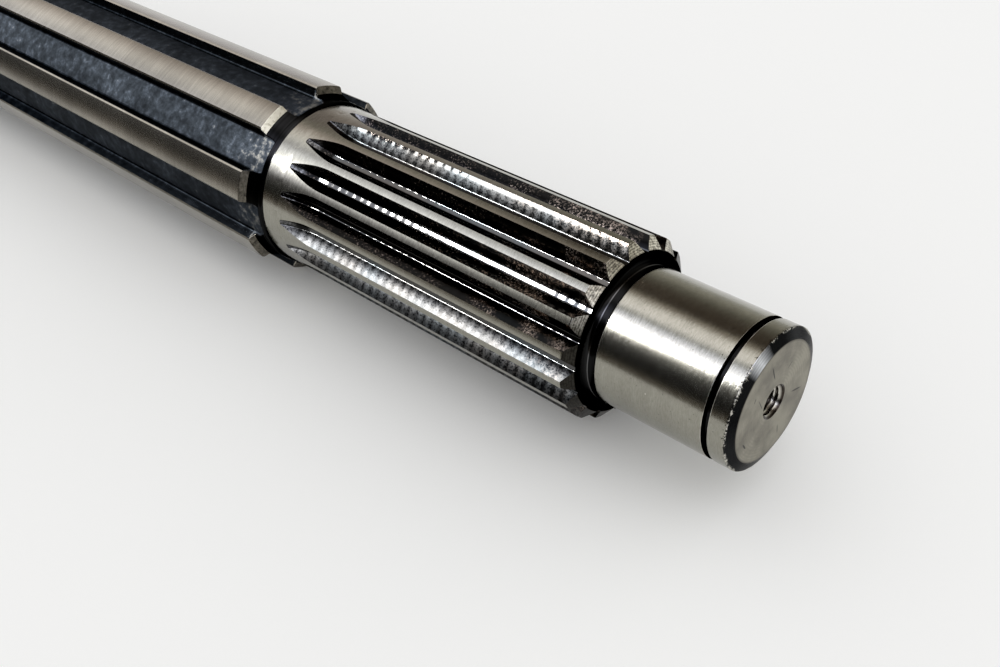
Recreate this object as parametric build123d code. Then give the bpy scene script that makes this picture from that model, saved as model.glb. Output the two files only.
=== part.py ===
# Splined shaft: one solid bar, turned, hobbed and ground. Millimetres.
# The shaft lies along X. The origin is the centre of the tapped end's face, and +X points out of that end.
# A station is a distance from that face into the shaft, so a station s lies at x = -s.
# +Z is up with the shaft at rest: it lies on two neighbouring teeth of the coarse spline.
from build123d import *
from math import acos, asin, cos, degrees, pi, radians, sin, sqrt, tan
import os

# Overall
total_length = 430.0

# Tapped end
end_face_diameter = 30.0
end_chamfer_length = 1.1
thread_core_diameter = 6.8
thread_depth = 22.0
thread_mouth_diameter = 8.6
drill_point_angle = 118.0

# Ground journal with its retaining-ring groove
journal_diameter = 35.0
journal_length = 36.1
ring_groove_start = 5.4
ring_groove_width = 1.6
ring_groove_depth = 1.0

# Relief neck between the journal and the fine spline: a slope, a short floor and a fillet up to the spline
neck_depth = 0.5
neck_slope_length = 0.5
neck_floor_width = 0.2
neck_fillet_radius = 2.4

# Fine spline: involute teeth with rounded roots, hobbed into a ground diameter that runs on as a band
fine_teeth = 18
fine_module = 2.5
fine_pressure_angle = 37.5
fine_profile_shift = -0.09
fine_addendum = 1.15
fine_dedendum = 2.0
fine_root_rounding = 0.5
fine_tooth_chamfer = 0.1
fine_shoulder_height = 0.3
fine_end_bevel_angle = 55.0
fine_hob_radius = 32.0
fine_spline_length = 102.9
band_width = 7.1

# Shoulder of the coarse spline: a ground fillet, a narrow step, a turned cone and the teeth's end chamfer
band_fillet_radius = 2.0
band_fillet_rise = 0.65
step_height = 0.3
cone_length = 3.3
coarse_end_chamfer_length = 1.1
coarse_end_chamfer_height = 1.95

# Coarse spline: straight-sided teeth
coarse_teeth = 8
coarse_tooth_width = 9.0
coarse_root_diameter = 49.0
coarse_tooth_height = 3.25
coarse_root_fillet = 0.8
coarse_tooth_chamfer = 0.35
coarse_hob_radius = 35.0

# Far end: collar, relief neck, plain journal and centre drilling
collar_width = 9.0
collar_chamfer = 1.5
far_journal_length = 36.0
far_journal_diameter = 40.0
far_neck_depth = 0.5
far_neck_width = 3.0
far_end_chamfer = 1.5
centre_mouth_diameter = 8.5
centre_pilot_diameter = 4.0
centre_pilot_depth = 8.0
centre_angle = 60.0

# How far each cutter reaches past the surface that it opens through
cutter_overshoot = 2.0

# A gap of the coarse spline faces straight down, so that the shaft rests on the teeth at its sides
coarse_first_gap = 180.0
# The two splines are hobbed apart: this is how far a fine gap stands from the top, towards -Y
fine_first_gap = 2.9

# Radii and stations that follow from the sizes above
journal_radius = journal_diameter / 2
fine_pitch = 360.0 / fine_teeth
fine_reference_radius = fine_module * fine_teeth / 2
fine_tip_radius = fine_reference_radius + fine_addendum
fine_root_radius = fine_reference_radius - fine_dedendum
coarse_pitch = 360.0 / coarse_teeth
coarse_root_radius = coarse_root_diameter / 2
coarse_tip_radius = coarse_root_radius + coarse_tooth_height
far_radius = far_journal_diameter / 2
neck_width = neck_slope_length + neck_floor_width + neck_fillet_radius
fine_spline_start = journal_length + neck_width
fine_spline_end = fine_spline_start + fine_spline_length
band_end = fine_spline_end + band_width
collar_end = total_length - far_journal_length
coarse_spline_end = collar_end - collar_width


def turned_blank():
    # Half outline of the bar as turned and ground, revolved about X
    ring_groove_radius = journal_radius - ring_groove_depth
    ring_groove_end = ring_groove_start + ring_groove_width
    neck_radius = journal_radius - neck_depth
    neck_fillet_top = neck_radius + neck_fillet_radius
    neck_bend = neck_fillet_radius * (1 - sin(radians(45)))
    shoulder_radius = fine_root_radius + fine_shoulder_height
    bevel_rise = fine_tip_radius - shoulder_radius
    fine_land_start = fine_spline_start + bevel_rise / tan(radians(fine_end_bevel_angle))
    rise_angle = acos(1 - band_fillet_rise / band_fillet_radius)
    fillet_end = band_end + band_fillet_radius * sin(rise_angle)
    fillet_end_radius = fine_tip_radius + band_fillet_rise
    fillet_middle = band_end + band_fillet_radius * sin(rise_angle / 2)
    fillet_middle_radius = fine_tip_radius + band_fillet_radius * (1 - cos(rise_angle / 2))
    cone_end = fillet_end + cone_length
    coarse_land_start = cone_end + coarse_end_chamfer_length
    far_neck_radius = far_radius - far_neck_depth

    with BuildPart() as blank:
        with BuildSketch():
            with BuildLine():
                Polyline(
                    (0, 0),
                    (0, end_face_diameter / 2),
                    (-end_chamfer_length, journal_radius),
                    (-ring_groove_start, journal_radius),
                    (-ring_groove_start, ring_groove_radius),
                    (-ring_groove_end, ring_groove_radius),
                    (-ring_groove_end, journal_radius),
                    (-journal_length, journal_radius),
                    (-journal_length - neck_slope_length, neck_radius),
                    (-fine_spline_start + neck_fillet_radius, neck_radius),
                )
                ThreePointArc(
                    (-fine_spline_start + neck_fillet_radius, neck_radius),
                    (-fine_spline_start + neck_bend, neck_radius + neck_bend),
                    (-fine_spline_start, neck_fillet_top),
                )
                Polyline(
                    (-fine_spline_start, neck_fillet_top),
                    (-fine_spline_start, shoulder_radius),
                    (-fine_land_start, fine_tip_radius),
                    (-band_end, fine_tip_radius),
                )
                ThreePointArc(
                    (-band_end, fine_tip_radius),
                    (-fillet_middle, fillet_middle_radius),
                    (-fillet_end, fillet_end_radius),
                )
                Polyline(
                    (-fillet_end, fillet_end_radius),
                    (-fillet_end, fillet_end_radius + step_height),
                    (-cone_end, coarse_tip_radius - coarse_end_chamfer_height),
                    (-coarse_land_start, coarse_tip_radius),
                    (-collar_end + collar_chamfer, coarse_tip_radius),
                    (-collar_end, coarse_tip_radius - collar_chamfer),
                    (-collar_end, far_neck_radius),
                    (-collar_end - far_neck_width, far_neck_radius),
                    (-collar_end - far_neck_width, far_radius),
                    (-total_length + far_end_chamfer, far_radius),
                    (-total_length, far_radius - far_end_chamfer),
                    (-total_length, 0),
                    (0, 0),
                )
            make_face()
        revolve(axis=Axis.X)
    return blank.part


def involute(angle):
    return tan(angle) - angle


def fine_flank_point(radius):
    # Point of an involute flank, seen across the shaft, with the middle of the gap on +Y of the sketch
    pressure = radians(fine_pressure_angle)
    base_radius = fine_reference_radius * cos(pressure)
    tooth_width = fine_module * (pi / 2 + 2 * fine_profile_shift * tan(pressure))
    half_tooth = tooth_width / (2 * fine_reference_radius)
    half_tooth -= involute(acos(base_radius / radius)) - involute(pressure)
    half_gap = pi / fine_teeth - half_tooth
    return (radius * sin(half_gap), radius * cos(half_gap))


def coarse_flank_point(radius):
    # The same for a straight flank, which lies half a tooth's width from the tooth's middle plane
    half_gap = radians(coarse_pitch / 2) - asin(coarse_tooth_width / 2 / radius)
    return (radius * sin(half_gap), radius * cos(half_gap))


def mirrored(point):
    return (-point[0], point[1])


def fine_gap_section():
    # Gap between two involute teeth, with its rounded root and its mouth flared to break the teeth's edges
    foot_radius = fine_root_radius + fine_root_rounding
    edge_radius = fine_tip_radius - fine_tooth_chamfer
    foot = fine_flank_point(foot_radius)
    middle = fine_flank_point((foot_radius + edge_radius) / 2)
    edge = fine_flank_point(edge_radius)
    reach = fine_tooth_chamfer + cutter_overshoot
    mouth = (edge[0] + reach, edge[1] + reach)
    with BuildSketch() as section:
        with BuildLine():
            ThreePointArc(mirrored(foot), (0, fine_root_radius), foot)
            ThreePointArc(foot, middle, edge)
            Polyline(edge, mouth, mirrored(mouth), mirrored(edge))
            ThreePointArc(mirrored(edge), mirrored(middle), mirrored(foot))
        make_face()
    return section.sketch


def coarse_gap_section():
    # Gap between two straight-sided teeth, with its floor round the shaft's axis and its corners filleted
    foot = coarse_flank_point(coarse_root_radius)
    edge = coarse_flank_point(coarse_tip_radius - coarse_tooth_chamfer)
    reach = (coarse_tooth_chamfer + cutter_overshoot) * sqrt(2)
    flare = radians(coarse_pitch / 2 + 45)
    mouth = (edge[0] + reach * sin(flare), edge[1] + reach * cos(flare))
    top = (mouth[0], coarse_tip_radius + cutter_overshoot)
    with BuildSketch() as section:
        with BuildLine():
            ThreePointArc(mirrored(foot), (0, coarse_root_radius), foot)
            Polyline(foot, edge, mouth, top, mirrored(top), mirrored(mouth), mirrored(edge), mirrored(foot))
        make_face()
        fillet(section.vertices().sort_by(Axis.Y)[:2], coarse_root_fillet)
    return section.sketch


def gap_cutter(section, start, end, tip_radius, root_radius, hob_radius):
    # One gap as the hob leaves it: straight from start, then rising on the hob's radius to the surface at end
    depth = tip_radius - root_radius
    runout_length = sqrt(hob_radius**2 - (hob_radius - depth) ** 2)
    runout_angle = degrees(acos((hob_radius - depth - cutter_overshoot) / hob_radius))
    full_depth_end = end - runout_length
    across = Plane(origin=(-full_depth_end, 0, 0), x_dir=(0, 1, 0), z_dir=(1, 0, 0))
    section = across * section
    straight = extrude(section, full_depth_end - start, dir=(1, 0, 0))
    hob_centre = (-full_depth_end, 0, root_radius + hob_radius)
    runout = revolve(section, Axis(hob_centre, (0, 1, 0)), runout_angle)
    return straight + runout


def tapped_hole():
    # Core of the thread with its drill point and its opened mouth
    core_radius = thread_core_diameter / 2
    mouth_radius = thread_mouth_diameter / 2
    point_length = core_radius / tan(radians(drill_point_angle / 2))
    with BuildPart() as hole:
        with BuildSketch():
            with BuildLine():
                Polyline(
                    (cutter_overshoot, 0),
                    (cutter_overshoot, mouth_radius),
                    (0, mouth_radius),
                    (core_radius - mouth_radius, core_radius),
                    (-thread_depth, core_radius),
                    (-thread_depth - point_length, 0),
                    (cutter_overshoot, 0),
                )
            make_face()
        revolve(axis=Axis.X)
    return hole.part


def centre_drilling():
    # Centre for turning and grinding, in the far face
    mouth_radius = centre_mouth_diameter / 2
    pilot_radius = centre_pilot_diameter / 2
    taper_length = (mouth_radius - pilot_radius) / tan(radians(centre_angle / 2))
    point_length = pilot_radius / tan(radians(drill_point_angle / 2))
    with BuildPart() as hole:
        with BuildSketch():
            with BuildLine():
                Polyline(
                    (-total_length - cutter_overshoot, 0),
                    (-total_length - cutter_overshoot, mouth_radius),
                    (-total_length, mouth_radius),
                    (-total_length + taper_length, pilot_radius),
                    (-total_length + centre_pilot_depth, pilot_radius),
                    (-total_length + centre_pilot_depth + point_length, 0),
                    (-total_length - cutter_overshoot, 0),
                )
            make_face()
        revolve(axis=Axis.X)
    return hole.part


def splined_shaft():
    fine_cutter = gap_cutter(
        fine_gap_section(), journal_length, fine_spline_end,
        fine_tip_radius, fine_root_radius, fine_hob_radius,
    )
    coarse_cutter = gap_cutter(
        coarse_gap_section(), band_end, coarse_spline_end,
        coarse_tip_radius, coarse_root_radius, coarse_hob_radius,
    )
    fine_gaps = [Rot(X=fine_first_gap + fine_pitch * i) * fine_cutter for i in range(fine_teeth)]
    coarse_gaps = [Rot(X=coarse_first_gap + coarse_pitch * i) * coarse_cutter for i in range(coarse_teeth)]
    return turned_blank() - fine_gaps - coarse_gaps - tapped_hole() - centre_drilling()


os.makedirs("parts", exist_ok=True)
shaft = splined_shaft()
shaft.label = "splined_shaft"
export_step(shaft, "parts/splined_shaft.step")
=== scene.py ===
from math import acos, asin, atan2, cos, hypot, pi, radians, sin, sqrt, tan

import bmesh
import bpy
from mathutils import Matrix, Vector


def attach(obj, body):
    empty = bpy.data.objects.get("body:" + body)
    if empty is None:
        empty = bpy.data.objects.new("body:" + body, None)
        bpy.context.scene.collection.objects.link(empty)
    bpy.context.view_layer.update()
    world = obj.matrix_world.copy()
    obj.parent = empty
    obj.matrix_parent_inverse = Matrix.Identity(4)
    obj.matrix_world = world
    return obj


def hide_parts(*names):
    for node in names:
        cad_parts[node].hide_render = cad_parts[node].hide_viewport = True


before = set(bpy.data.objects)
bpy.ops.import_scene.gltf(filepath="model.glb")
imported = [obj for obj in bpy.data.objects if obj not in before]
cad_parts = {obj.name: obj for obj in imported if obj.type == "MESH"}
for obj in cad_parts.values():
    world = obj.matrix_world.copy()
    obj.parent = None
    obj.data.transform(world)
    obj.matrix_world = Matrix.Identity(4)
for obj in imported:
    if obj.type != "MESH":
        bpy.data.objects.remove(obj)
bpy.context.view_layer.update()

mm = 0.001

# A station is a distance in millimetres from the tapped end's face, so a station s lies at x = -s.
# An angle is measured round the shaft from +Z towards -Y.


def linearColor(text):
    # sRGB hex to linear
    channels = [int(text[i:i + 2], 16) / 255 for i in (1, 3, 5)]
    return [c / 12.92 if c <= 0.04045 else ((c + 0.055) / 1.055) ** 2.4 for c in channels] + [1.0]


def addNode(tree, kind, inputs=None, stops=None, **settings):
    # one node: its settings, its colour stops, and what goes into it (a value, a socket or another node)
    node = tree.nodes.new("ShaderNode" + kind)
    for name, value in settings.items():
        setattr(node, name, value)
    if stops:
        elements = node.color_ramp.elements
        while len(elements) < len(stops):
            elements.new(0.5)
        for element, (place, color) in zip(elements, stops):
            element.position = place
            element.color = color if isinstance(color, (list, tuple)) else (color, color, color, 1)
    for name, value in (inputs or {}).items():
        if isinstance(value, bpy.types.Node):
            value = value.outputs[0]
        if isinstance(value, bpy.types.NodeSocket):
            tree.links.new(value, node.inputs[name])
        else:
            node.inputs[name].default_value = value
    return node


def newMaterial(name):
    material = bpy.data.materials.new(name)
    material.use_nodes = True
    material.node_tree.nodes.clear()
    return material, material.node_tree


def finishSurface(tree, inputs):
    shader = addNode(tree, "BsdfPrincipled", inputs)
    addNode(tree, "OutputMaterial", {"Surface": shader})


def shaftPlace(tree, *wanted):
    # the places asked for: "place" in object coordinates, "station" and "radius" in mm, "angle" in degrees, and
    # "facing", which is 1 at the top of the shaft and -1 at the bottom
    place = addNode(tree, "TexCoord").outputs["Object"]
    parts = addNode(tree, "SeparateXYZ", {0: place})
    station = addNode(tree, "Math", {0: parts.outputs["X"], 1: -1 / mm}, operation="MULTIPLY")
    across = addNode(tree, "VectorMath", {0: place, 1: (0, 1 / mm, 1 / mm)}, operation="MULTIPLY")
    radius = addNode(tree, "VectorMath", {0: across}, operation="LENGTH").outputs["Value"]
    towards = addNode(tree, "Math", {0: parts.outputs["Y"], 1: -1.0}, operation="MULTIPLY")
    turn = addNode(tree, "Math", {0: towards, 1: parts.outputs["Z"]}, operation="ARCTAN2")
    angle = addNode(tree, "Math", {0: turn}, operation="DEGREES")
    height = addNode(tree, "Math", {0: parts.outputs["Z"], 1: 1 / mm}, operation="MULTIPLY")
    facing = addNode(tree, "Math", {0: height, 1: radius}, operation="DIVIDE")
    found = {"place": place, "station": station, "radius": radius, "angle": angle, "facing": facing}
    return [found[name] for name in wanted]


def marksRound(tree, place, perMm, aroundPerMm):
    # tool marks: fine along the shaft, long round it
    stretch = addNode(tree, "Mapping", {0: place, "Scale": (perMm / mm, aroundPerMm / mm, aroundPerMm / mm)})
    return addNode(tree, "TexNoise", {"Vector": stretch, "Scale": 1.0, "Detail": 3.0, "Roughness": 0.6})


def groundSteel():
    # Alloy steel ground between centres: a soft grey sheen, fine marks round the shaft, a few tiny pits and dings.
    # The real marks are near 0.05 mm apart and are drawn coarser so that they show
    material, tree = newMaterial("groundAlloySteel")
    place, station = shaftPlace(tree, "place", "station")
    marks = marksRound(tree, place, 3.2, 0.7)
    broad = marksRound(tree, place, 0.35, 0.04)
    tone = addNode(tree, "ValToRGB", {0: marks}, [(0.3, linearColor("#8D8B80")), (0.7, linearColor("#9D9B91"))])
    cloud = addNode(tree, "MapRange", {"Value": broad, "From Min": 0.3, "From Max": 0.7, "To Min": 0.93, "To Max": 1.05})
    tone = addNode(tree, "VectorMath", {0: tone, "Scale": cloud}, operation="SCALE")
    pitCells = addNode(tree, "TexVoronoi", {"Vector": place, "Scale": 0.2 / mm})
    pits = addNode(tree, "MapRange", {"Value": pitCells, "From Min": 0.03, "From Max": 0.05, "To Min": 1.0, "To Max": 0.0})
    tone = addNode(tree, "Mix", {0: pits, 6: tone, 7: linearColor("#2A2622")}, data_type="RGBA").outputs[2]
    moved = addNode(tree, "Mapping", {0: place, "Location": (0.013, 0.007, 0.003)})
    dingCells = addNode(tree, "TexVoronoi", {"Vector": moved, "Scale": 0.16 / mm})
    dings = addNode(tree, "MapRange", {"Value": dingCells, "From Min": 0.022, "From Max": 0.036, "To Min": 1.0, "To Max": 0.0})
    tone = addNode(tree, "Mix", {0: dings, 6: tone, 7: linearColor("#F2EFE6")}, data_type="RGBA").outputs[2]
    # torn burr beside the end chamfer
    tear = addNode(tree, "TexNoise", {"Vector": place, "Scale": 1.8 / mm, "Detail": 3.0, "Roughness": 0.7})
    rim = addNode(tree, "MapRange", {"Value": station, "From Min": 2.0, "From Max": 1.1, "To Min": 0.0, "To Max": 0.2})
    torn = addNode(tree, "Math", {0: tear, 1: rim}, operation="ADD")
    torn = addNode(tree, "MapRange", {"Value": torn, "From Min": 0.66, "From Max": 0.72})
    tone = addNode(tree, "Mix", {0: torn, 6: tone, 7: linearColor("#3A3630")}, data_type="RGBA").outputs[2]
    rough = addNode(tree, "MapRange", {"Value": marks, "From Min": 0.3, "From Max": 0.7, "To Min": 0.15, "To Max": 0.19})
    fade = addNode(tree, "MapRange", {"Value": station, "From Min": 32.5, "From Max": 36.0, "To Min": 1.0, "To Max": 0.03})
    height = addNode(tree, "Math", {0: marks, 1: fade}, operation="MULTIPLY")
    bump = addNode(tree, "Bump", {"Height": height, "Strength": 1.0, "Distance": 0.02 * mm})
    finishSurface(tree, {"Base Color": tone, "Metallic": 1.0, "Roughness": rough, "Normal": bump})
    return material


hobbing = {
    "feed": 2.9,    # mm between feed marks
    # painted highlights on chosen flanks, placed by where they stand round the shaft: (angle + 180) / 360, which is 0.5
    # at the top and 0.75 at -Y
    "highlightBands": (
        (0.2, 0.0), (0.205, 0.1), (0.215, 0.1), (0.22, 0.0),
        (0.489, 0.0), (0.495, 0.04), (0.501, 0.03), (0.507, 0.0),
        (0.728, 0.0), (0.737, 0.02), (0.744, 0.08), (0.752, 0.05), (0.757, 0.0),
        (0.783, 0.0), (0.789, 0.05), (0.81, 0.05), (0.815, 0.0),
        (0.85, 0.0), (0.86, 0.1), (0.87, 0.0),
    ),
}


def hobbedSteel():
    # The same steel as the hob leaves it, hardened black and wet with oil: mirror-like grooves with feed marks across
    # them, and brown and grey specks that thicken towards the tapped end. Some flanks, chosen by their angle round the
    # shaft, carry painted highlights; the root is painted lighter for its thin highlight line and the flanks darker as
    # shade. Its tones are written very dark, because the studio's lamp is far brighter than paper white
    material, tree = newMaterial("oiledHobbedSteel")
    place, station, radius, angle = shaftPlace(tree, "place", "station", "radius", "angle")
    feed = addNode(tree, "Math", {0: station, 1: 2 * pi / hobbing["feed"]}, operation="MULTIPLY")
    ripple = addNode(tree, "Math", {0: feed}, operation="SINE")
    grain = addNode(tree, "TexNoise", {"Vector": place, "Scale": 1.8 / mm, "Detail": 5.0, "Roughness": 0.75})
    patches = addNode(tree, "TexNoise", {"Vector": place, "Scale": 0.12 / mm, "Detail": 2.0})
    around = addNode(tree, "MapRange", {"Value": angle, "From Min": -180.0, "From Max": 180.0})
    # painted: the root lighter for its thin highlight line, the flanks ten times darker as shade
    rootLineAndFlankShade = addNode(tree, "MapRange", {"Value": radius, "From Min": 20.72, "From Max": 20.9, "To Min": 0.08, "To Max": 0.008})
    # painted highlights: brighter flanks at the angles listed in hobbing, streaked by the feed marks
    highlightBands = addNode(tree, "ValToRGB", {0: around}, hobbing["highlightBands"])
    ridges = addNode(tree, "MapRange", {"Value": ripple, "From Min": -1.0, "To Min": 0.55, "To Max": 1.2})
    handled = addNode(tree, "MapRange", {"Value": station, "From Min": 75.0, "From Max": 48.0, "To Min": 1.0, "To Max": 0.6})
    ridges = addNode(tree, "Math", {0: ridges, 1: handled}, operation="MULTIPLY")
    smear = addNode(tree, "MapRange", {"Value": grain, "From Min": 0.38, "From Max": 0.54, "To Min": 0.2, "To Max": 1.1})
    streaks = addNode(tree, "Math", {0: ridges, 1: smear}, operation="MULTIPLY")
    highlightBands = addNode(tree, "VectorMath", {0: highlightBands, "Scale": streaks}, operation="SCALE")
    tone = addNode(tree, "VectorMath", {0: highlightBands, 1: rootLineAndFlankShade}, operation="ADD")
    cast = addNode(tree, "TexNoise", {"Vector": place, "Scale": 0.05 / mm, "Detail": 2.0})
    hue = addNode(tree, "ValToRGB", {0: cast}, [
        (0.35, (0.9, 1.0, 1.05, 1)), (0.5, (0.98, 1.0, 1.0, 1)), (0.62, (1.03, 1.0, 0.95, 1))])
    tone = addNode(tree, "VectorMath", {0: tone, 1: hue}, operation="MULTIPLY")
    nearEnd = addNode(tree, "MapRange", {"Value": station, "From Min": 42.0, "From Max": 85.0, "To Min": 0.08, "To Max": -0.02})
    speckle = addNode(tree, "Math", {0: grain, 1: nearEnd}, operation="ADD")
    speckle = addNode(tree, "MapRange", {"Value": speckle, "From Min": 0.54, "From Max": 0.66})
    clumps = addNode(tree, "MapRange", {"Value": patches, "From Min": 0.4, "From Max": 0.58})
    specks = addNode(tree, "Math", {0: speckle, 1: clumps}, operation="MULTIPLY")
    # fewer specks on the painted highlight bands
    specksOffHighlight = addNode(tree, "MapRange", {"Value": highlightBands, "From Max": 0.008, "To Min": 1.0, "To Max": 0.15})
    specks = addNode(tree, "Math", {0: specks, 1: specksOffHighlight}, operation="MULTIPLY")
    offRoot = addNode(tree, "MapRange", {"Value": radius, "From Min": 20.7, "From Max": 20.95, "To Min": 0.15, "To Max": 1.0})
    specks = addNode(tree, "Math", {0: specks, 1: offRoot}, operation="MULTIPLY")
    tone = addNode(tree, "Mix", {0: specks, 6: tone, 7: linearColor("#877C73")}, data_type="RGBA").outputs[2]
    # dull skin where the hob leaves the steel
    tip = addNode(tree, "MapRange", {"Value": station, "From Min": 137.0, "From Max": 138.5})
    skin = addNode(tree, "MapRange", {"Value": grain, "From Min": 0.4, "From Max": 0.6, "To Min": 0.02, "To Max": 0.16})
    tone = addNode(tree, "Mix", {0: tip, 6: tone, 7: skin.outputs[0]}, data_type="RGBA").outputs[2]
    matt = addNode(tree, "MapRange", {"Value": highlightBands, "From Max": 0.03, "To Max": 0.8})
    matt = addNode(tree, "Math", {0: matt, 1: specks}, operation="MAXIMUM")
    rough = addNode(tree, "MapRange", {"Value": matt, "To Min": 0.07, "To Max": 0.42})
    wander = addNode(tree, "TexNoise", {"Vector": place, "Scale": 0.25 / mm, "Detail": 1.0})
    wander = addNode(tree, "Math", {0: wander, 1: 6.0}, operation="MULTIPLY")
    height = addNode(tree, "Math", {0: ripple, 1: wander}, operation="ADD")
    bump = addNode(tree, "Bump", {"Height": height, "Strength": 1.0, "Distance": 0.009 * mm})
    specular = (0.35, 0.35, 0.35, 1)    # keeps the oil black where it is seen at a glance
    finishSurface(tree, {"Base Color": tone, "Metallic": 1.0, "Roughness": rough, "Specular Tint": specular, "Normal": bump})
    return material


def sideSteel():
    # Sides and corners of the wide teeth: black oil on milled steel
    material, tree = newMaterial("oiledMilledSteel")
    place = addNode(tree, "TexCoord").outputs["Object"]
    blotch = addNode(tree, "TexNoise", {"Vector": place, "Scale": 0.4 / mm, "Detail": 5.0, "Roughness": 0.65})
    tone = addNode(tree, "ValToRGB", {0: blotch}, [
        (0.35, linearColor("#101214")), (0.55, linearColor("#1A1D20")), (0.75, linearColor("#2E3236"))])
    finishSurface(tree, {"Base Color": tone, "Metallic": 1.0, "Roughness": 0.25, "Specular Tint": (0.4, 0.4, 0.4, 1)})
    return material


def rubbedEdgeSteel():
    # Narrow rims where handling has rubbed the oil off
    material, tree = newMaterial("rubbedEdgeSteel")
    place = addNode(tree, "TexCoord").outputs["Object"]
    wear = addNode(tree, "TexNoise", {"Vector": place, "Scale": 0.8 / mm, "Detail": 3.0})
    tone = addNode(tree, "ValToRGB", {0: wear}, [(0.35, linearColor("#8F8B80")), (0.6, linearColor("#CFCCC2"))])
    finishSurface(tree, {"Base Color": tone, "Metallic": 1.0, "Roughness": 0.3})
    return material


def blackRelief():
    # Turned neck, ring groove and cone under black oil: dark and wet, a thin painted highlight line round the neck's
    # fillet
    material, tree = newMaterial("oiledTurnedSteel")
    place, station = shaftPlace(tree, "place", "station")
    marks = marksRound(tree, place, 2.0, 0.02)
    tone = addNode(tree, "ValToRGB", {0: marks}, [(0.35, 0.006), (0.7, 0.016)])
    # painted highlight: a thin bright line across the fillet near station 38.2
    along = addNode(tree, "MapRange", {"Value": station, "From Min": 37.0, "From Max": 39.5})
    highlightLine = addNode(tree, "ValToRGB", {0: along}, [(0.0, 0.0), (0.4, 0.0), (0.46, 0.12), (0.52, 0.0), (1.0, 0.0)])
    tone = addNode(tree, "VectorMath", {0: tone, 1: highlightLine}, operation="ADD")
    bump = addNode(tree, "Bump", {"Height": marks, "Strength": 0.5, "Distance": 0.02 * mm})
    specular = (0.2, 0.2, 0.2, 1)    # the oil stays black at a glance
    finishSurface(tree, {"Base Color": tone, "Metallic": 1.0, "Roughness": 0.12, "Specular Tint": specular, "Normal": bump})
    return material


def chamferSteel():
    # Turned chamfer of the tapped end: dark with oil, a painted blue-white highlight over a short arc, a torn burr
    # along its rim
    material, tree = newMaterial("turnedChamferSteel")
    place, radius, angle = shaftPlace(tree, "place", "radius", "angle")
    turns = addNode(tree, "Math", {0: radius, 1: 2 * pi / 0.6}, operation="MULTIPLY")
    turns = addNode(tree, "Math", {0: turns}, operation="SINE")
    # painted highlight: bright only over the arc from about 14 to 36 degrees round the shaft
    around = addNode(tree, "MapRange", {"Value": angle, "From Min": -180.0, "From Max": 180.0})
    highlightArc = addNode(tree, "ValToRGB", {0: around}, [
        (0.0, 0.012), (0.38, 0.015), (0.42, 0.04), (0.47, 0.008), (0.52, 0.008), (0.54, 0.3),
        (0.56, 0.7), (0.575, 0.5), (0.6, 0.01), (0.7, 0.006), (0.78, 0.02), (1.0, 0.012)])
    shade = addNode(tree, "MapRange", {"Value": turns, "From Min": -1.0, "To Min": 0.85, "To Max": 1.15})
    tone = addNode(tree, "VectorMath", {0: highlightArc, "Scale": shade}, operation="SCALE")
    tone = addNode(tree, "VectorMath", {0: tone, 1: (0.97, 1.0, 1.04)}, operation="MULTIPLY")
    tear = addNode(tree, "TexNoise", {"Vector": place, "Scale": 1.7 / mm, "Detail": 5.0, "Roughness": 0.8})
    edge = addNode(tree, "MapRange", {"Value": radius, "From Min": 16.5, "From Max": 17.3, "To Min": -0.22, "To Max": 0.03})
    stretch = addNode(tree, "TexNoise", {"Vector": place, "Scale": 0.16 / mm, "Detail": 2.0})
    stretch = addNode(tree, "MapRange", {"Value": stretch, "From Min": 0.4, "From Max": 0.6, "To Min": -0.09, "To Max": 0.05})
    burr = addNode(tree, "Math", {0: addNode(tree, "Math", {0: tear, 1: edge}, operation="ADD"), 1: stretch}, operation="ADD")
    burr = addNode(tree, "MapRange", {"Value": burr, "From Min": 0.5, "From Max": 0.56})
    tone = addNode(tree, "Mix", {0: burr, 6: tone, 7: linearColor("#D3D0C6")}, data_type="RGBA").outputs[2]
    bump = addNode(tree, "Bump", {"Height": tear, "Strength": 1.0, "Distance": 0.08 * mm})
    specular = (0.5, 0.5, 0.5, 1)
    finishSurface(tree, {"Base Color": tone, "Metallic": 1.0, "Roughness": 0.28, "Specular Tint": specular, "Normal": bump})
    return material


endFace = {
    # middle (y, z), turn, length and width of each scratch, mm and degrees
    "scratches": (
        (-1.2, 9.0, 108, 4.8, 0.45), (9.4, -3.0, 160, 4.4, 0.5), (-11.0, -5.2, 120, 2.6, 0.5), (2.7, -10.2, 95, 3.0, 0.3),
        (-5.6, 3.1, 115, 4.4, 0.22), (5.5, 7.0, 30, 2.0, 0.25), (-8.0, 6.0, 60, 1.4, 0.3),
    ),
}


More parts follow.
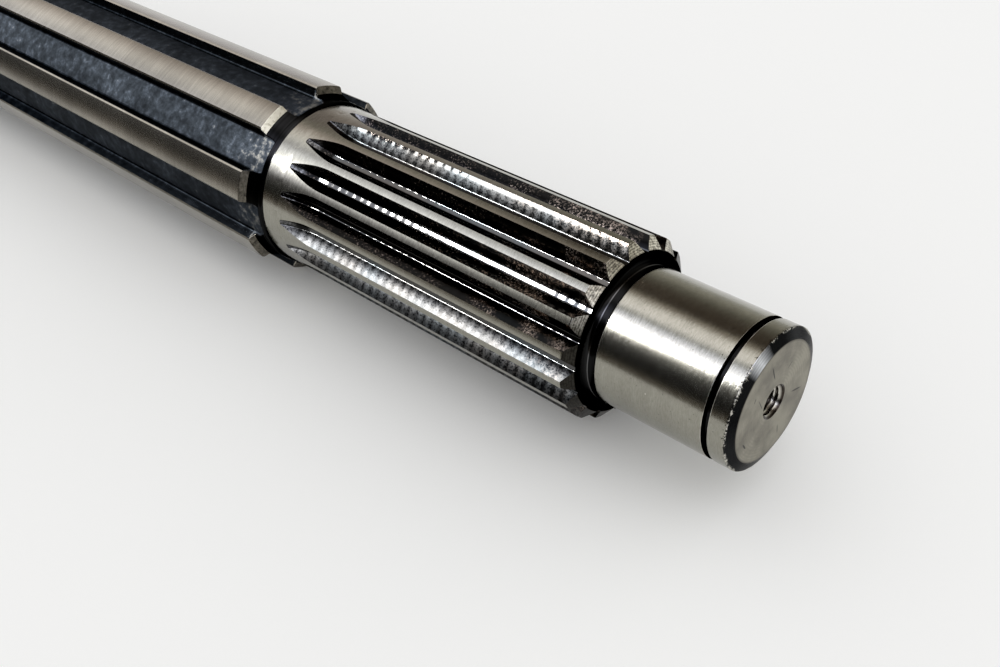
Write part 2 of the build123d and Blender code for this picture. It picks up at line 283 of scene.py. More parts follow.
def facedSteel():
    # Faced end: matt grey-beige, faint turned rings in patches, a few short dark scratches
    material, tree = newMaterial("facedSteel")
    place, radius = shaftPlace(tree, "place", "radius")
    cloud = addNode(tree, "TexNoise", {"Vector": place, "Scale": 0.14 / mm, "Detail": 4.0, "Roughness": 0.6})
    wave = addNode(tree, "Math", {0: radius, 1: 2 * pi / 0.75}, operation="MULTIPLY")
    wave = addNode(tree, "Math", {0: wave}, operation="SINE")
    patch = addNode(tree, "MapRange", {"Value": cloud, "From Min": 0.5, "From Max": 0.62, "To Min": 0.01, "To Max": 0.07})
    ripple = addNode(tree, "Math", {0: wave, 1: patch}, operation="MULTIPLY")
    tone = addNode(tree, "ValToRGB", {0: addNode(tree, "Math", {0: cloud, 1: ripple}, operation="ADD")}, [
        (0.36, linearColor("#716D62")), (0.5, linearColor("#858174")), (0.64, linearColor("#949082"))])
    lit = 0.0
    for y, z, turn, length, width in endFace["scratches"]:
        # the mapping lays each scratch along its own Y, centred
        middle, tilt = (0, y * mm, z * mm), (radians(turn), 0, 0)
        own = addNode(tree, "Mapping", {0: place, "Location": middle, "Rotation": tilt}, vector_type="TEXTURE")
        own = addNode(tree, "VectorMath", {0: own, 1: (0, 2 / (length * mm), 2 / (width * mm))}, operation="MULTIPLY")
        reach = addNode(tree, "VectorMath", {0: own}, operation="LENGTH").outputs["Value"]
        mark = addNode(tree, "MapRange", {"Value": reach, "From Min": 0.7, "From Max": 1.1, "To Min": 1.0, "To Max": 0.0})
        lit = addNode(tree, "Math", {0: lit, 1: mark}, operation="MAXIMUM")
    tone = addNode(tree, "Mix", {0: lit, 6: tone, 7: linearColor("#2E2A25")}, data_type="RGBA").outputs[2]
    rim = addNode(tree, "MapRange", {"Value": radius, "From Min": 14.3, "From Max": 14.8})
    tone = addNode(tree, "Mix", {0: rim, 6: tone, 7: linearColor("#5E5A50")}, data_type="RGBA").outputs[2]
    finishSurface(tree, {"Base Color": tone, "Metallic": 1.0, "Roughness": 0.38})
    return material


def tappedSteel():
    # Cut thread: bright crests and flanks, roots painted dark as shade
    material, tree = newMaterial("tappedSteel")
    [radius] = shaftPlace(tree, "radius")
    # painted shade: darker the deeper into the thread's roots
    depth = addNode(tree, "MapRange", {"Value": radius, "From Min": 3.35, "From Max": 4.0})
    tone = addNode(tree, "ValToRGB", {0: depth}, [
        (0.0, linearColor("#D5D2C8")), (0.5, linearColor("#A5A198")), (0.95, linearColor("#3A342F"))])
    finishSurface(tree, {"Base Color": tone, "Metallic": 1.0, "Roughness": 0.2})
    return material


def tintedFloor():
    # Floors of the wide gaps: slate-blue hardening tint, mottled, paler where the hob ran in near the plain band
    material, tree = newMaterial("heatTintedSteel")
    place, station = shaftPlace(tree, "place", "station")
    blotch = addNode(tree, "TexNoise", {"Vector": place, "Scale": 0.4 / mm, "Detail": 6.0, "Roughness": 0.7})
    broad = addNode(tree, "TexNoise", {"Vector": place, "Scale": 0.07 / mm, "Detail": 2.0})
    ends = addNode(tree, "MapRange", {"Value": station, "From Min": 168.0, "From Max": 156.0, "To Min": 0.0, "To Max": 0.14})
    mottle = addNode(tree, "Math", {0: blotch, 1: ends}, operation="ADD")
    tone = addNode(tree, "ValToRGB", {0: mottle}, [
        (0.36, linearColor("#1C1F22")), (0.52, linearColor("#272B2F")),
        (0.64, linearColor("#363B41")), (0.76, linearColor("#75746F"))])
    shade = addNode(tree, "MapRange", {"Value": broad, "From Min": 0.35, "From Max": 0.65, "To Min": 0.75, "To Max": 1.2})
    tone = addNode(tree, "VectorMath", {0: tone, "Scale": shade}, operation="SCALE")
    rough = addNode(tree, "MapRange", {"Value": blotch, "From Min": 0.3, "From Max": 0.7, "To Min": 0.66, "To Max": 0.56})
    finishSurface(tree, {"Base Color": tone, "Metallic": 1.0, "Roughness": rough, "Specular Tint": (0.6, 0.6, 0.6, 1)})
    return material


def coarseLandSteel():
    # Ground tips of the wide teeth: warm grey, softer than the journal, with faint marks round the shaft
    material, tree = newMaterial("groundToothTips")
    place = addNode(tree, "TexCoord").outputs["Object"]
    marks = marksRound(tree, place, 1.6, 0.1)
    stain = addNode(tree, "TexNoise", {"Vector": place, "Scale": 0.06 / mm, "Detail": 4.0})
    tone = addNode(tree, "ValToRGB", {0: marks}, [(0.3, linearColor("#8C887E")), (0.7, linearColor("#9C988D"))])
    shade = addNode(tree, "MapRange", {"Value": stain, "From Min": 0.35, "From Max": 0.65, "To Min": 0.8, "To Max": 1.05})
    tone = addNode(tree, "VectorMath", {0: tone, "Scale": shade}, operation="SCALE")
    finishSurface(tree, {"Base Color": tone, "Metallic": 1.0, "Roughness": 0.22})
    return material


def bevelSteel():
    # Turned bevels on the fine tooth ends: crossing marks, bright above and painted dark below as shade
    material, tree = newMaterial("turnedBevelSteel")
    place, radius, facing = shaftPlace(tree, "place", "radius", "facing")
    grain = addNode(tree, "TexNoise", {"Vector": place, "Scale": 1.5 / mm, "Detail": 4.0, "Roughness": 0.7})
    turns = addNode(tree, "Math", {0: radius, 1: 2 * pi / 0.5}, operation="MULTIPLY")
    turns = addNode(tree, "Math", {0: turns}, operation="SINE")
    turns = addNode(tree, "Math", {0: turns, 1: 0.06}, operation="MULTIPLY")
    texture = addNode(tree, "Math", {0: grain, 1: turns}, operation="ADD")
    tone = addNode(tree, "ValToRGB", {0: texture}, [
        (0.38, linearColor("#6E6A60")), (0.5, linearColor("#B9B4A5")), (0.6, linearColor("#EBE7D7"))])
    # painted shade: darker the less the bevel faces up
    undersideShade = addNode(tree, "MapRange", {"Value": facing, "From Min": 0.76, "From Max": 0.5, "To Min": 0.0, "To Max": 0.97})
    tone = addNode(tree, "Mix", {0: undersideShade, 6: tone, 7: linearColor("#1A1815")}, data_type="RGBA").outputs[2]
    bump = addNode(tree, "Bump", {"Height": texture, "Strength": 1.0, "Distance": 0.08 * mm})
    finishSurface(tree, {"Base Color": tone, "Metallic": 1.0, "Roughness": 0.32, "Normal": bump})
    return material


def litTopBevelSteel():
    # End bevels of the wide teeth, lit and shaded copies: the one near the top is painted pale as lit, the others dark
    # as shaded
    material, tree = newMaterial("paintedLightBevelSteel")
    place, angle = shaftPlace(tree, "place", "angle")
    grain = addNode(tree, "TexNoise", {"Vector": place, "Scale": 0.9 / mm, "Detail": 4.0, "Roughness": 0.7})
    pale = addNode(tree, "ValToRGB", {0: grain}, [(0.3, linearColor("#B9B49A")), (0.5, linearColor("#F1EEDB"))])
    dark = addNode(tree, "ValToRGB", {0: grain}, [(0.35, linearColor("#3A3732")), (0.65, linearColor("#7A756A"))])
    around = addNode(tree, "MapRange", {"Value": angle, "From Min": -180.0, "From Max": 180.0})
    # painted light: pale from the top to about 43 degrees towards -Y
    litTop = addNode(tree, "ValToRGB", {0: around}, [(0.0, 0.0), (0.49, 0.0), (0.5, 1.0), (0.62, 1.0), (0.63, 0.0), (1.0, 0.0)])
    tone = addNode(tree, "Mix", {0: litTop, 6: dark.outputs[0], 7: pale.outputs[0]}, data_type="RGBA").outputs[2]
    finishSurface(tree, {"Base Color": tone, "Metallic": 1.0, "Roughness": 0.4})
    return material


finishes = {
    "side": sideSteel(),
    "edge": rubbedEdgeSteel(),
    "bevel": bevelSteel(),
    "litTopBevel": litTopBevelSteel(),
    "ground": groundSteel(),
    "hobbed": hobbedSteel(),
    "relief": blackRelief(),
    "chamfer": chamferSteel(),
    "faced": facedSteel(),
    "tapped": tappedSteel(),
    "tinted": tintedFloor(),
    "coarseLand": coarseLandSteel(),
}
finishIndex = {name: i for i, name in enumerate(finishes)}
print("materials:", len(finishes))


def flankPoint(radius, halfGap):
    return (radius * sin(halfGap), radius * cos(halfGap))


def gapRow(spline, curve, lift, outer):
    # points across half a gap and half a tooth at one station, from the gap's middle to the tooth's middle. Where the
    # hob leaves the steel it has moved on by lift, and the gap is shallower
    hobCentre = spline["root"] + spline["hobRadius"]
    halfPitch = pi / spline["teeth"]
    gapCount, landCount = spline["gapCount"], spline["landCount"]
    lifted = [(u, hobCentre - sqrt((hobCentre - v) ** 2 - lift ** 2)) for u, v in curve]
    radii = [hypot(u, v) for u, v in lifted]
    reach = 0.0
    if radii[0] < outer - 1e-4:
        for i in range(len(radii) - 1):
            if radii[i] < outer <= radii[i + 1]:
                reach = i + (outer - radii[i]) / (radii[i + 1] - radii[i])
                break
    row = []
    for k in range(gapCount + 1):
        t = min(reach * k / gapCount, len(lifted) - 1.0001)
        i = int(t)
        f = t - i
        u = lifted[i][0] * (1 - f) + lifted[i + 1][0] * f
        v = lifted[i][1] * (1 - f) + lifted[i + 1][1] * f
        if reach == 0.0:
            u, v = 0.0, outer
        row.append((u, v))
    start = atan2(row[-1][0], row[-1][1])
    row[-1] = (outer * sin(start), outer * cos(start))
    for k in range(1, landCount + 1):
        a = start + (halfPitch - start) * k / landCount
        row.append((outer * sin(a), outer * cos(a)))
    return row


def plainRow(spline, radius):
    # the same number of points on a plain circle
    halfPitch = pi / spline["teeth"]
    count = spline["gapCount"] + spline["landCount"]
    return [(radius * sin(halfPitch * k / count), radius * cos(halfPitch * k / count)) for k in range(count + 1)]


def hobRunout(spline):
    # how far along the shaft the hob's curve takes to climb from the root to the tip
    return sqrt(spline["hobRadius"] ** 2 - (spline["hobRadius"] - spline["tip"] + spline["root"]) ** 2)


def runoutRows(spline, curve):
    # rows that crowd towards the place where the gap comes out of the steel
    runout = hobRunout(spline)
    full = spline["end"] - runout
    rows = []
    for k in range(1, spline["runoutCount"] + 1):
        lift = runout * (1 - (1 - k / spline["runoutCount"]) ** 1.4)
        rows.append((full + lift, gapRow(spline, curve, lift, spline["tip"])))
    return rows


def flareTo(edge, direction, tip):
    # a small chamfer: from the end of the flank to a little past the tip circle
    low, high = 0.0, 2.0
    for _ in range(40):
        middle = (low + high) / 2
        if hypot(edge[0] + middle * direction[0], edge[1] + middle * direction[1]) < tip:
            low = middle
        else:
            high = middle
    return [(edge[0] + low * k * direction[0], edge[1] + low * k * direction[1]) for k in (0.5, 1.0, 1.6)]


def splineMesh(rows, teeth, firstGap, finishOf):
    # rows: (station, points). One half sector is extruded row by row, mirrored, and spun round the shaft
    bm = bmesh.new()
    column = bm.verts.layers.int.new("column")
    station, points = rows[0]
    chain = []
    previous = None
    for k, (u, v) in enumerate(points):
        vert = bm.verts.new((-station * mm, u * mm, v * mm))
        vert[column] = k
        if previous:
            chain.append(bm.edges.new((previous, vert)))
        previous = vert
    for rowNumber, (station, points) in enumerate(rows[1:]):
        made = bmesh.ops.extrude_edge_only(bm, edges=chain)["geom"]
        for vert in [g for g in made if isinstance(g, bmesh.types.BMVert)]:
            u, v = points[vert[column]]
            vert.co = (-station * mm, u * mm, v * mm)
        for face in [g for g in made if isinstance(g, bmesh.types.BMFace)]:
            face.material_index = finishIndex[finishOf(rowNumber, min(v[column] for v in face.verts))]
        rim = [g for g in made if isinstance(g, bmesh.types.BMEdge)]
        newVerts = {g for g in made if isinstance(g, bmesh.types.BMVert)}
        chain = [e for e in rim if e.verts[0] in newVerts and e.verts[1] in newVerts]
    bmesh.ops.mirror(bm, geom=bm.verts[:] + bm.edges[:] + bm.faces[:], matrix=Matrix.Identity(4), merge_dist=1e-7, axis="Y")
    bmesh.ops.spin(
        bm, geom=bm.verts[:] + bm.edges[:] + bm.faces[:], cent=(0, 0, 0), axis=(1, 0, 0), dvec=(0, 0, 0),
        angle=2 * pi * (teeth - 1) / teeth, steps=teeth - 1, use_duplicate=True,
    )
    bmesh.ops.remove_doubles(bm, verts=bm.verts, dist=2e-7)
    bmesh.ops.rotate(bm, verts=bm.verts, cent=(0, 0, 0), matrix=Matrix.Rotation(radians(firstGap), 3, "X"))
    return bm


def turnedMesh(profile, columns):
    # profile: (station, radius, finish of the band that follows). Spun round X
    bm = bmesh.new()
    previous = None
    for station, radius, _ in profile:
        vert = bm.verts.new((-station * mm, 0, radius * mm))
        if previous:
            bm.edges.new((previous, vert))
        previous = vert
    bmesh.ops.spin(
        bm, geom=bm.verts[:] + bm.edges[:], cent=(0, 0, 0), axis=(1, 0, 0), dvec=(0, 0, 0),
        angle=2 * pi, steps=columns, use_merge=True,
    )
    bmesh.ops.remove_doubles(bm, verts=bm.verts, dist=2e-7)
    # each band of faces takes the finish of its stretch of the profile
    stretches = [(a[0], a[1], b[0], b[1], finishIndex[a[2]]) for a, b in zip(profile, profile[1:])]
    for face in bm.faces:
        xs = [-v.co.x / mm for v in face.verts]
        rs = [hypot(v.co.y, v.co.z) / mm for v in face.verts]
        low = (min(xs), max(xs), min(rs), max(rs))
        best = min(stretches, key=lambda q: abs(min(q[0], q[2]) - low[0]) + abs(max(q[0], q[2]) - low[1])
                   + abs(min(q[1], q[3]) - low[2]) + abs(max(q[1], q[3]) - low[3]))
        face.material_index = best[4]
    return bm


def joinMesh(target, source):
    carrier = bpy.data.meshes.new("carrier")
    source.to_mesh(carrier)
    source.free()
    target.from_mesh(carrier)
    bpy.data.meshes.remove(carrier)


def rimAt(bm, station, low, high):
    # corners of the open edge at one station whose radius lies between low and high, in order round the shaft
    found = set()
    for edge in bm.edges:
        if edge.is_boundary and all(
            abs(-v.co.x / mm - station) < 0.01 and low < hypot(v.co.y, v.co.z) / mm < high for v in edge.verts
        ):
            found.update(edge.verts)
    return sorted(found, key=lambda v: atan2(v.co.y, v.co.z))


def turnAt(rim, i):
    vert = rim[i % len(rim)]
    return atan2(vert.co.y, vert.co.z) + 2 * pi * (i // len(rim))


def bridge(bm, rimA, rimB, finish):
    # triangles between two open rims, walking round both together, so that their counts may differ
    first, second = rimAt(bm, *rimA), rimAt(bm, *rimB)
    i = j = 0
    while i < len(first) or j < len(second):
        here, there = first[i % len(first)], second[j % len(second)]
        if j == len(second) or (i < len(first) and turnAt(first, i + 1) <= turnAt(second, j + 1)):
            i += 1
            face = bm.faces.new((here, first[i % len(first)], there))
        else:
            j += 1
            face = bm.faces.new((here, second[j % len(second)], there))
        face.material_index = finishIndex[finish]


fineSpline = {
    "teeth": 18, "firstGap": 2.9, "module": 2.5, "pressure": 37.5, "shift": -0.09,
    "tip": 23.65, "root": 20.5, "rootRounding": 0.5, "rootCorner": 0.42, "chamfer": 0.1, "hobRadius": 32.0,
    "start": 39.2, "shoulder": 20.8, "bevel": 55.0, "end": 142.1,
    "gapCount": 14, "landCount": 5, "runoutCount": 20,    # points across half a gap and half a land, rows in the run-out
    "bevelRows": (39.2, 39.3, 39.45, 39.6, 39.8, 40.0, 40.25, 40.5, 40.75, 41.0, 41.12),
    "roundedRows": ((41.18, 23.59), (41.26, 23.635), (41.4, 23.65), (41.5, 23.65)),    # station and radius
    "straightRows": (52, 62, 72, 82, 92, 102, 112, 120),
    "bandRows": (143.0, 145.5),
}


def fineCurve(f):
    pressure = radians(f["pressure"])
    reference = f["module"] * f["teeth"] / 2
    base = reference * cos(pressure)
    width = f["module"] * (pi / 2 + 2 * f["shift"] * tan(pressure))

    def flank(radius):
        angle = acos(base / radius)
        half = width / (2 * reference) - ((tan(angle) - angle) - (tan(pressure) - pressure))
        return flankPoint(radius, pi / f["teeth"] - half)

    # the root is flat in the middle, then turns up in a tight corner to the flank's own slope
    foot = flank(f["root"] + f["rootRounding"])
    above = flank(f["root"] + f["rootRounding"] + 0.05)
    slope = atan2(above[1] - foot[1], above[0] - foot[0])
    corner = f["rootCorner"]
    rest = (foot[1] - f["root"] - corner * (1 - cos(slope))) / sin(slope)
    flat = foot[0] - corner * sin(slope) - rest * cos(slope)
    curve = [(0.0, f["root"]), (flat * 0.96, f["root"])]
    curve += [(flat + corner * sin(slope * k / 5), f["root"] + corner * (1 - cos(slope * k / 5))) for k in range(1, 6)]
    curve.append(foot)
    edgeRadius = f["tip"] - f["chamfer"]
    for k in range(1, 6):
        curve.append(flank(f["root"] + f["rootRounding"] + (edgeRadius - f["root"] - f["rootRounding"]) * k / 5))
    return curve + flareTo(curve[-1], (1.0, 1.0), f["tip"])


def buildFine():
    f = fineSpline
    curve = fineCurve(f)
    slope = tan(radians(f["bevel"]))
    rows = [(s, gapRow(f, curve, 0.0, f["shoulder"] + (s - f["start"]) * slope)) for s in f["bevelRows"]]
    rows += [(s, gapRow(f, curve, 0.0, r)) for s, r in f["roundedRows"]]
    rows += [(s, gapRow(f, curve, 0.0, f["tip"])) for s in (*f["straightRows"], f["end"] - hobRunout(f))]
    rows += runoutRows(f, curve)
    rows += [(s, plainRow(f, f["tip"])) for s in f["bandRows"]]

    def finishOf(row, k):
        station = rows[row + 1][0]
        if station > f["end"] + 0.01:
            return "ground"
        if k < f["gapCount"]:
            return "hobbed"
        return "bevel" if station < 41.2 else "ground"    # the bevel ends at its rounded corner

    return splineMesh(rows, f["teeth"], f["firstGap"], finishOf)


coarseSpline = {
    "teeth": 8, "firstGap": 180.0, "width": 9.0, "tip": 27.75, "root": 24.5, "fillet": 0.8, "chamfer": 0.35,
    "hobRadius": 35.0, "bandEnd": 149.2, "end": 385.0,
    "bandFillet": 2.0, "bandRise": 0.65, "coneLength": 3.3, "collarChamfer": 1.5,
    "gapCount": 18, "landCount": 18, "runoutCount": 16,
    # station past the fillet and radius, then station past the cone and radius
    "coneRows": ((0, 24.56), (0.04, 24.6), (0.8, 24.9), (1.6, 25.19), (2.4, 25.48)),
    "bevelRows": (
        (0, 25.8), (0.3, 26.33), (0.6, 26.86), (0.9, 27.4), (1.02, 27.61), (1.08, 27.7), (1.15, 27.74),
        (1.3, 27.75), (1.4, 27.75),
    ),
    "straightRows": (170, 190, 210, 230, 250, 270, 290, 310, 330, 350),
    "collarRows": (386.5, 392.4, 392.5), "collarEnd": 394.0,
}


def coarseCurve(c):
    half = pi / c["teeth"]
    along = (sin(half), cos(half))
    across = (-cos(half), sin(half))
    gapSide = c["width"] / 2 + c["fillet"]
    outside = c["root"] + c["fillet"]
    reach = sqrt(outside ** 2 - gapSide ** 2)
    centre = (gapSide * across[0] + reach * along[0], gapSide * across[1] + reach * along[1])
    foot = atan2(centre[0], centre[1])
    curve = [(c["root"] * sin(foot * k / 7), c["root"] * cos(foot * k / 7)) for k in range(8)]
    startAngle = atan2(-centre[1], -centre[0])
    endAngle = atan2(-across[1], -across[0])
    turn = (endAngle - startAngle + pi) % (2 * pi) - pi
    for k in range(1, 6):
        a = startAngle + turn * k / 5
        curve.append((centre[0] + c["fillet"] * cos(a), centre[1] + c["fillet"] * sin(a)))
    first = hypot(*curve[-1])
    edgeRadius = c["tip"] - c["chamfer"]
    for k in range(1, 5):
        r = first + (edgeRadius - first) * k / 4
        curve.append(flankPoint(r, half - asin(c["width"] / 2 / r)))
    return curve + flareTo(curve[-1], (sin(half + pi / 4), cos(half + pi / 4)), c["tip"])


def buildCoarse():
    c = coarseSpline
    curve = coarseCurve(c)
    band = fineSpline["tip"]
    # the end of the plain band, then its fillet
    rows = [(s, plainRow(c, band)) for s in (147.0, c["bandEnd"] - 0.08, c["bandEnd"])]
    sweep = acos(1 - c["bandRise"] / c["bandFillet"])
    for k in range(1, 6):
        a = sweep * k / 5
        rows.append((c["bandEnd"] + c["bandFillet"] * sin(a), plainRow(c, band + c["bandFillet"] * (1 - cos(a)))))
    stepAt = rows[-1][0]
    coneEnd = stepAt + c["coneLength"]
    first = len(rows)
    rows += [(stepAt + s, gapRow(c, curve, 0.0, r)) for s, r in c["coneRows"]]
    rows += [(coneEnd + s, gapRow(c, curve, 0.0, r)) for s, r in c["bevelRows"]]
    rows += [(s, gapRow(c, curve, 0.0, c["tip"])) for s in (*c["straightRows"], c["end"] - hobRunout(c))]
    rows += runoutRows(c, curve)
    rows += [(s, plainRow(c, c["tip"])) for s in c["collarRows"]]
    rows.append((c["collarEnd"], plainRow(c, c["tip"] - c["collarChamfer"])))

    def finishOf(row, k):
        station = rows[row + 1][0]
        if station < c["bandEnd"] + 0.01:
            return "ground"
        if row < first - 1:
            return "relief"
        if station > c["end"] + 0.01:
            return "coarseLand"
        if station < coneEnd + 0.01 and k >= 16:
            return "relief"
        if station < coneEnd + 1.12 and k >= c["gapCount"]:
            return "litTopBevel"
        # the floor, and the whole gap where it opens at the cone
        if k < 7 or (station < coneEnd + 4 and k < 15):
            return "tinted"
        return "side" if k < 16 else "coarseLand"

    return splineMesh(rows, c["teeth"], c["firstGap"], finishOf)


journalEnd = {
    "columns": 192,
    "profile": (
        # end face and chamfer
        (0.0, 5.2, "faced"), (0.0, 9.0, "faced"), (0.0, 13.0, "faced"), (0.0, 14.4, "faced"), (0.0, 14.9, "chamfer"),
        (0.06, 15.04, "chamfer"), (0.5, 15.9, "chamfer"), (1.02, 17.36, "chamfer"), (1.1, 17.47, "chamfer"),
        # land before the ring groove, and the groove
        (1.2, 17.5, "ground"), (1.26, 17.5, "ground"), (2.4, 17.5, "ground"), (3.8, 17.5, "ground"), (5.22, 17.5, "ground"),
        (5.28, 17.5, "edge"), (5.38, 17.46, "relief"), (5.4, 17.44, "relief"), (5.4, 16.6, "relief"), (5.48, 16.5, "relief"),
        (6.92, 16.5, "relief"), (7.0, 16.6, "relief"), (7.0, 17.44, "relief"), (7.02, 17.46, "edge"),
        # journal
        (7.12, 17.5, "ground"), (7.18, 17.5, "ground"), (10, 17.5, "ground"), (20, 17.5, "ground"), (30, 17.5, "ground"),
        (35.89, 17.5, "ground"), (35.95, 17.5, "edge"),
        # neck and its fillet
        (36.1, 17.44, "relief"), (36.6, 17.0, "relief"), (36.8, 17.0, "relief"), (37.4, 17.076, "relief"),
        (37.9, 17.266, "relief"), (38.4, 17.6, "relief"), (38.8, 18.02, "relief"), (39.05, 18.55, "relief"),
        (39.16, 18.95, "relief"), (39.2, 19.4, "relief"), (39.2, 20.2, "relief"),
    ),
}

farEnd = {
    "columns": 192,
    "profile": (
        # collar face and neck
        (394.0, 25.0, "coarseLand"), (394.0, 19.6, "relief"), (394.1, 19.5, "relief"), (396.9, 19.5, "relief"),
        (397.0, 19.6, "relief"),
        # journal
        (397.0, 19.9, "ground"), (397.1, 20.0, "ground"), (397.2, 20.0, "ground"), (405, 20.0, "ground"),
        (415, 20.0, "ground"), (428.3, 20.0, "ground"), (428.4, 20.0, "ground"), (428.6, 19.9, "relief"),
        # end face and centre drilling
        (429.9, 18.6, "faced"), (430.0, 18.4, "faced"), (430.0, 12.0, "faced"), (430.0, 4.25, "relief"),
        (426.1, 2.0, "relief"), (422.0, 2.0, "relief"), (420.8, 0.0, "relief"),
    ),
}

threadedHole = {
    "columns": 96, "pitch": 1.25, "core": 3.4, "major": 4.0, "mouth": 4.3, "threadEnd": 16.0, "depth": 22.0, "point": 2.04,
}


def boreRadius(h, s, angle):
    # the thread's groove winds round the core hole, and the mouth's cone opens it
    phase = (s / h["pitch"] - angle / (2 * pi)) % 1.0
    groove = min(1.0, max(0.0, 1.25 * (1 - abs(2 * phase - 1)) - 0.1))
    groove *= min(1.0, max(0.0, (h["threadEnd"] - s) / 2))
    return max(h["mouth"] - s, h["core"] + (h["major"] - h["core"]) * groove)


def buildHole():
    h = threadedHole
    perTurn = 9    # rows in one turn of the thread
    stations = [k * h["pitch"] / perTurn for k in range(int(h["threadEnd"] / h["pitch"] * perTurn) + 2)]
    profile = [(s, h["core"], "tapped") for s in stations + [h["depth"]]]
    profile.append((h["depth"] + h["point"], 0.0, "tapped"))
    bm = turnedMesh(profile, h["columns"])
    for vert in bm.verts:
        s = -vert.co.x / mm
        radius = hypot(vert.co.y, vert.co.z) / mm
        if s < h["threadEnd"] + 0.2 and radius > 1:
            wanted = boreRadius(h, s, atan2(-vert.co.y, vert.co.z))
            vert.co.y *= wanted / radius
            vert.co.z *= wanted / radius
    return bm


sharpAngle = 24    # degrees past which an edge is drawn sharp


def buildShaft():
    bm = bmesh.new()
    joinMesh(bm, buildHole())
    print("hole:", len(bm.faces), "faces")
    joinMesh(bm, turnedMesh(journalEnd["profile"], journalEnd["columns"]))
    joinMesh(bm, buildFine())
    print("fine spline:", len(bm.faces), "faces")
    joinMesh(bm, buildCoarse())
    joinMesh(bm, turnedMesh(farEnd["profile"], farEnd["columns"]))
    # close the joints between the pieces: station, and the radii that the rim lies between, for each of the two rims
    bridge(bm, (0.0, 4.2, 4.4), (0.0, 5.1, 5.3), "faced")
    bridge(bm, (39.2, 20.1, 20.3), (39.2, 20.4, 20.9), "relief")
    bridge(bm, (145.5, 23.6, 23.7), (147.0, 23.6, 23.7), "ground")
    bridge(bm, (394.0, 26.2, 26.3), (394.0, 24.9, 25.1), "coarseLand")
    bmesh.ops.recalc_face_normals(bm, faces=bm.faces)
    for face in bm.faces:
        face.smooth = True
    for edge in bm.edges:
        edge.smooth = not (edge.is_manifold and edge.calc_face_angle() > radians(sharpAngle))
    openEdges = sum(1 for e in bm.edges if not e.is_manifold)
    print("shaft:", len(bm.faces), "faces,", openEdges, "open edges")
    mesh = bpy.data.meshes.new("splinedShaft")
    bm.to_mesh(mesh)
    bm.free()
    shaft = bpy.data.objects.new("splinedShaft", mesh)
    bpy.context.scene.collection.objects.link(shaft)
    for material in finishes.values():
        mesh.materials.append(material)
    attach(shaft, "root")
    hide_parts("splined_shaft")
    mesh.calc_loop_triangles()
    print("triangles:", len(mesh.loop_triangles))


buildShaft()


studio = {
    "floorHeight": -27.0, "floorAlong": (-1.6, 1.0), "floorAcross": (-0.15, 1.6),
    "floorColor": "#FEFEFE", "paperWhite": "#F5F5F4",
    "cameraPlace": (0.08971, -0.16555, 0.17383), "cameraTurn": (50.48570, 4.37621, 42.74743), "lens": 41.149,
}


def buildFloor():
    # a sheet of white paper that ends a hand's breadth in front of the shaft
    bm = bmesh.new()
    bmesh.ops.create_grid(bm, x_segments=1, y_segments=1, size=0.5)
    (x0, x1), (y0, y1) = studio["floorAlong"], studio["floorAcross"]
    bmesh.ops.scale(bm, verts=bm.verts, vec=(x1 - x0, y1 - y0, 1))
    bmesh.ops.translate(bm, verts=bm.verts, vec=((x0 + x1) / 2, (y0 + y1) / 2, studio["floorHeight"] * mm))
    mesh = bpy.data.meshes.new("paperFloor")
    bm.to_mesh(mesh)
    bm.free()
    floor = bpy.data.objects.new("paperFloor", mesh)
    bpy.context.scene.collection.objects.link(floor)
    material, tree = newMaterial("whitePaper")
    finishSurface(tree, {"Base Color": linearColor(studio["floorColor"]), "Roughness": 1.0, "Specular IOR Level": 0.0})
    mesh.materials.append(material)


# What steel sees round the shaft in place of the plain studio: angle in degrees from straight up, towards -Y, and
# brightness in red, green and blue, where 1 is paper white. The values were worked back from how the ground steel
# shines and rounded. The near ring is what the tapped end sees, the far ring what the wide teeth see
nearRing = (
    (-180, 0.9, 0.9, 0.9), (-92, 0.66, 0.66, 0.62), (-72, 0.46, 0.44, 0.38), (-62, 0.29, 0.28, 0.24),
    (-52, 0.18, 0.165, 0.135), (-42, 0.12, 0.1, 0.08), (-32, 0.09, 0.07, 0.053), (-22, 0.07, 0.053, 0.037),
    (-14, 0.5, 0.44, 0.37), (-4, 1.75, 1.7, 1.7), (8, 2.0, 1.95, 2.0), (17, 0.6, 0.62, 0.63), (24, 1.7, 1.75, 2.1),
    (34, 3.3, 3.4, 4.0), (40, 3.1, 3.2, 3.8), (45, 0.9, 0.95, 1.1), (50, 0.06, 0.06, 0.06), (56, 0.01, 0.01, 0.01),
    (80, 0.006, 0.006, 0.006), (90, 0.02, 0.018, 0.015), (98, 0.14, 0.12, 0.1), (106, 0.3, 0.28, 0.24),
    (125, 0.75, 0.74, 0.7), (180, 0.9, 0.9, 0.9),
)
farRing = (
    (-180, 0.9, 0.9, 0.9), (-102, 1.1, 1.05, 1.1), (-84, 0.85, 0.83, 0.85), (-68, 0.55, 0.5, 0.47),
    (-52, 0.38, 0.33, 0.31), (-34, 0.32, 0.28, 0.26), (-24, 0.38, 0.36, 0.31), (-14, 0.85, 0.74, 0.7),
    (0, 1.7, 1.65, 1.65), (8, 1.4, 1.4, 1.45), (16, 0.85, 0.85, 0.95), (26, 2.0, 2.05, 2.3), (34, 1.9, 1.95, 2.2),
    (50, 1.8, 1.85, 2.1), (57, 1.2, 1.2, 1.4), (64, 0.1, 0.1, 0.12), (72, 0.02, 0.02, 0.02), (88, 0.01, 0.01, 0.008),
    (96, 0.07, 0.06, 0.05), (104, 0.32, 0.28, 0.25), (116, 0.9, 0.87, 0.87), (140, 1.1, 1.1, 1.1), (180, 1.0, 1.0, 1.0),
)
# middle of the lamp: degrees round the shaft as above, and how far it leans towards the wide teeth. At this size and
# power it is about 150 times as bright as paper white
lamp = {"around": 43.2, "lean": -0.594, "distance": 8.0, "size": (1.37, 1.06), "power": 700.0}


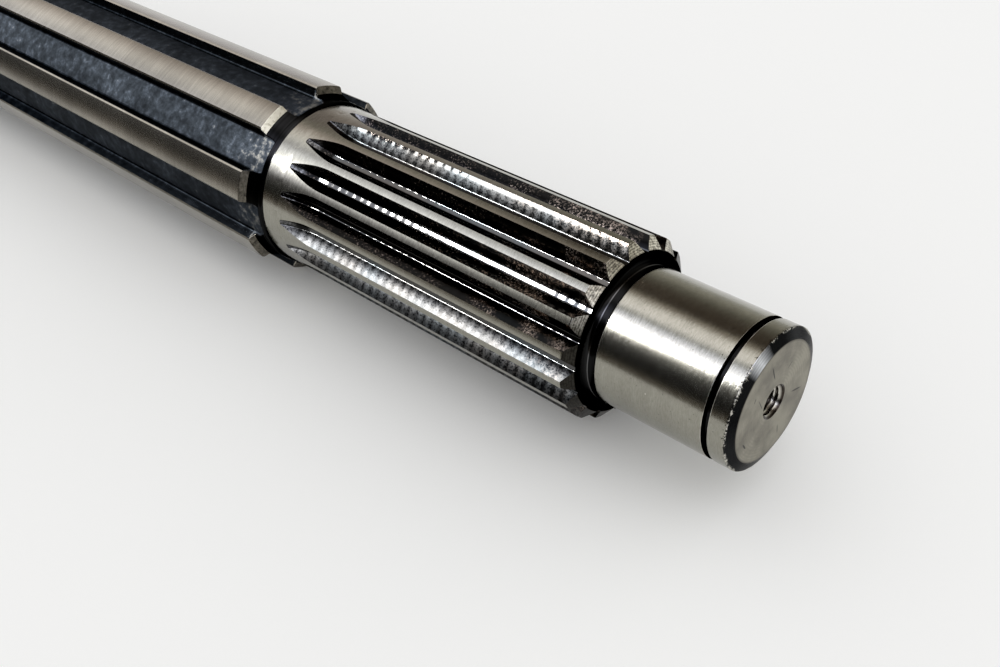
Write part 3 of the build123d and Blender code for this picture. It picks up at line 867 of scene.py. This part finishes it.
def buildWorld():
    world = bpy.data.worlds.new("studio")
    bpy.context.scene.world = world
    world.use_nodes = True
    tree = world.node_tree
    tree.nodes.clear()
    direction = addNode(tree, "SeparateXYZ", {"Vector": addNode(tree, "TexCoord").outputs["Generated"]})
    towards = addNode(tree, "Math", {0: direction.outputs["Y"], 1: -1.0}, operation="MULTIPLY")
    angle = addNode(tree, "Math", {0: towards, 1: direction.outputs["Z"]}, operation="ARCTAN2")
    around = addNode(tree, "MapRange", {"Value": angle, "From Min": -pi, "From Max": pi})
    rings = []
    top = 4.0    # brightest stop of either ring
    for ring in (nearRing, farRing):
        stops = [((a + 180) / 360, (r / top, g / top, b / top, 1)) for a, r, g, b in ring]
        rings.append(addNode(tree, "ValToRGB", {0: around}, stops))
    far = addNode(
        tree, "MapRange", {"Value": direction.outputs["X"], "From Min": -0.5, "From Max": -0.68}, interpolation_type="SMOOTHSTEP")
    ring = addNode(tree, "Mix", {0: far, 6: rings[0], 7: rings[1]}, data_type="RGBA").outputs[2]
    ring = addNode(tree, "VectorMath", {0: ring, "Scale": top}, operation="SCALE")
    path = addNode(tree, "LightPath")
    studioLight = addNode(tree, "Background", {"Color": ring, "Strength": 1.0})
    plainLight = addNode(tree, "Background", {"Color": linearColor(studio["paperWhite"]), "Strength": 1.0})
    both = addNode(tree, "MixShader", {0: path.outputs["Is Glossy Ray"], 1: plainLight, 2: studioLight})
    addNode(tree, "OutputWorld", {"Surface": both})
    world.cycles.sampling_method = "NONE"


def buildLamp():
    # a small bright lamp seen only in reflections: it draws the thin white lines in the grooves
    around = radians(lamp["around"])
    side = sqrt(1 - lamp["lean"] ** 2)
    back = Vector((lamp["lean"], -side * sin(around), side * cos(around)))
    across = (Vector((1, 0, 0)) - back.x * back).normalized()
    data = bpy.data.lights.new("lamp", "AREA")
    data.shape = "RECTANGLE"
    data.size, data.size_y = lamp["size"]
    data.energy = lamp["power"]
    light = bpy.data.objects.new("lamp", data)
    turn = Matrix((across, back.cross(across), back)).transposed().to_4x4()
    light.matrix_world = Matrix.Translation(back * lamp["distance"]) @ turn
    light.visible_diffuse = False
    light.visible_camera = False
    bpy.context.scene.collection.objects.link(light)


def buildCamera():
    data = bpy.data.cameras.new("camera")
    data.lens = studio["lens"]
    data.sensor_width = 36
    data.clip_start = 0.01
    camera = bpy.data.objects.new("camera", data)
    camera.location = studio["cameraPlace"]
    camera.rotation_euler = [radians(a) for a in studio["cameraTurn"]]
    bpy.context.scene.collection.objects.link(camera)
    bpy.context.scene.camera = camera


buildFloor()
buildWorld()
buildLamp()
buildCamera()
print("studio: floor, world, lamp and camera")
bpy.context.scene.view_settings.view_transform = "Standard"
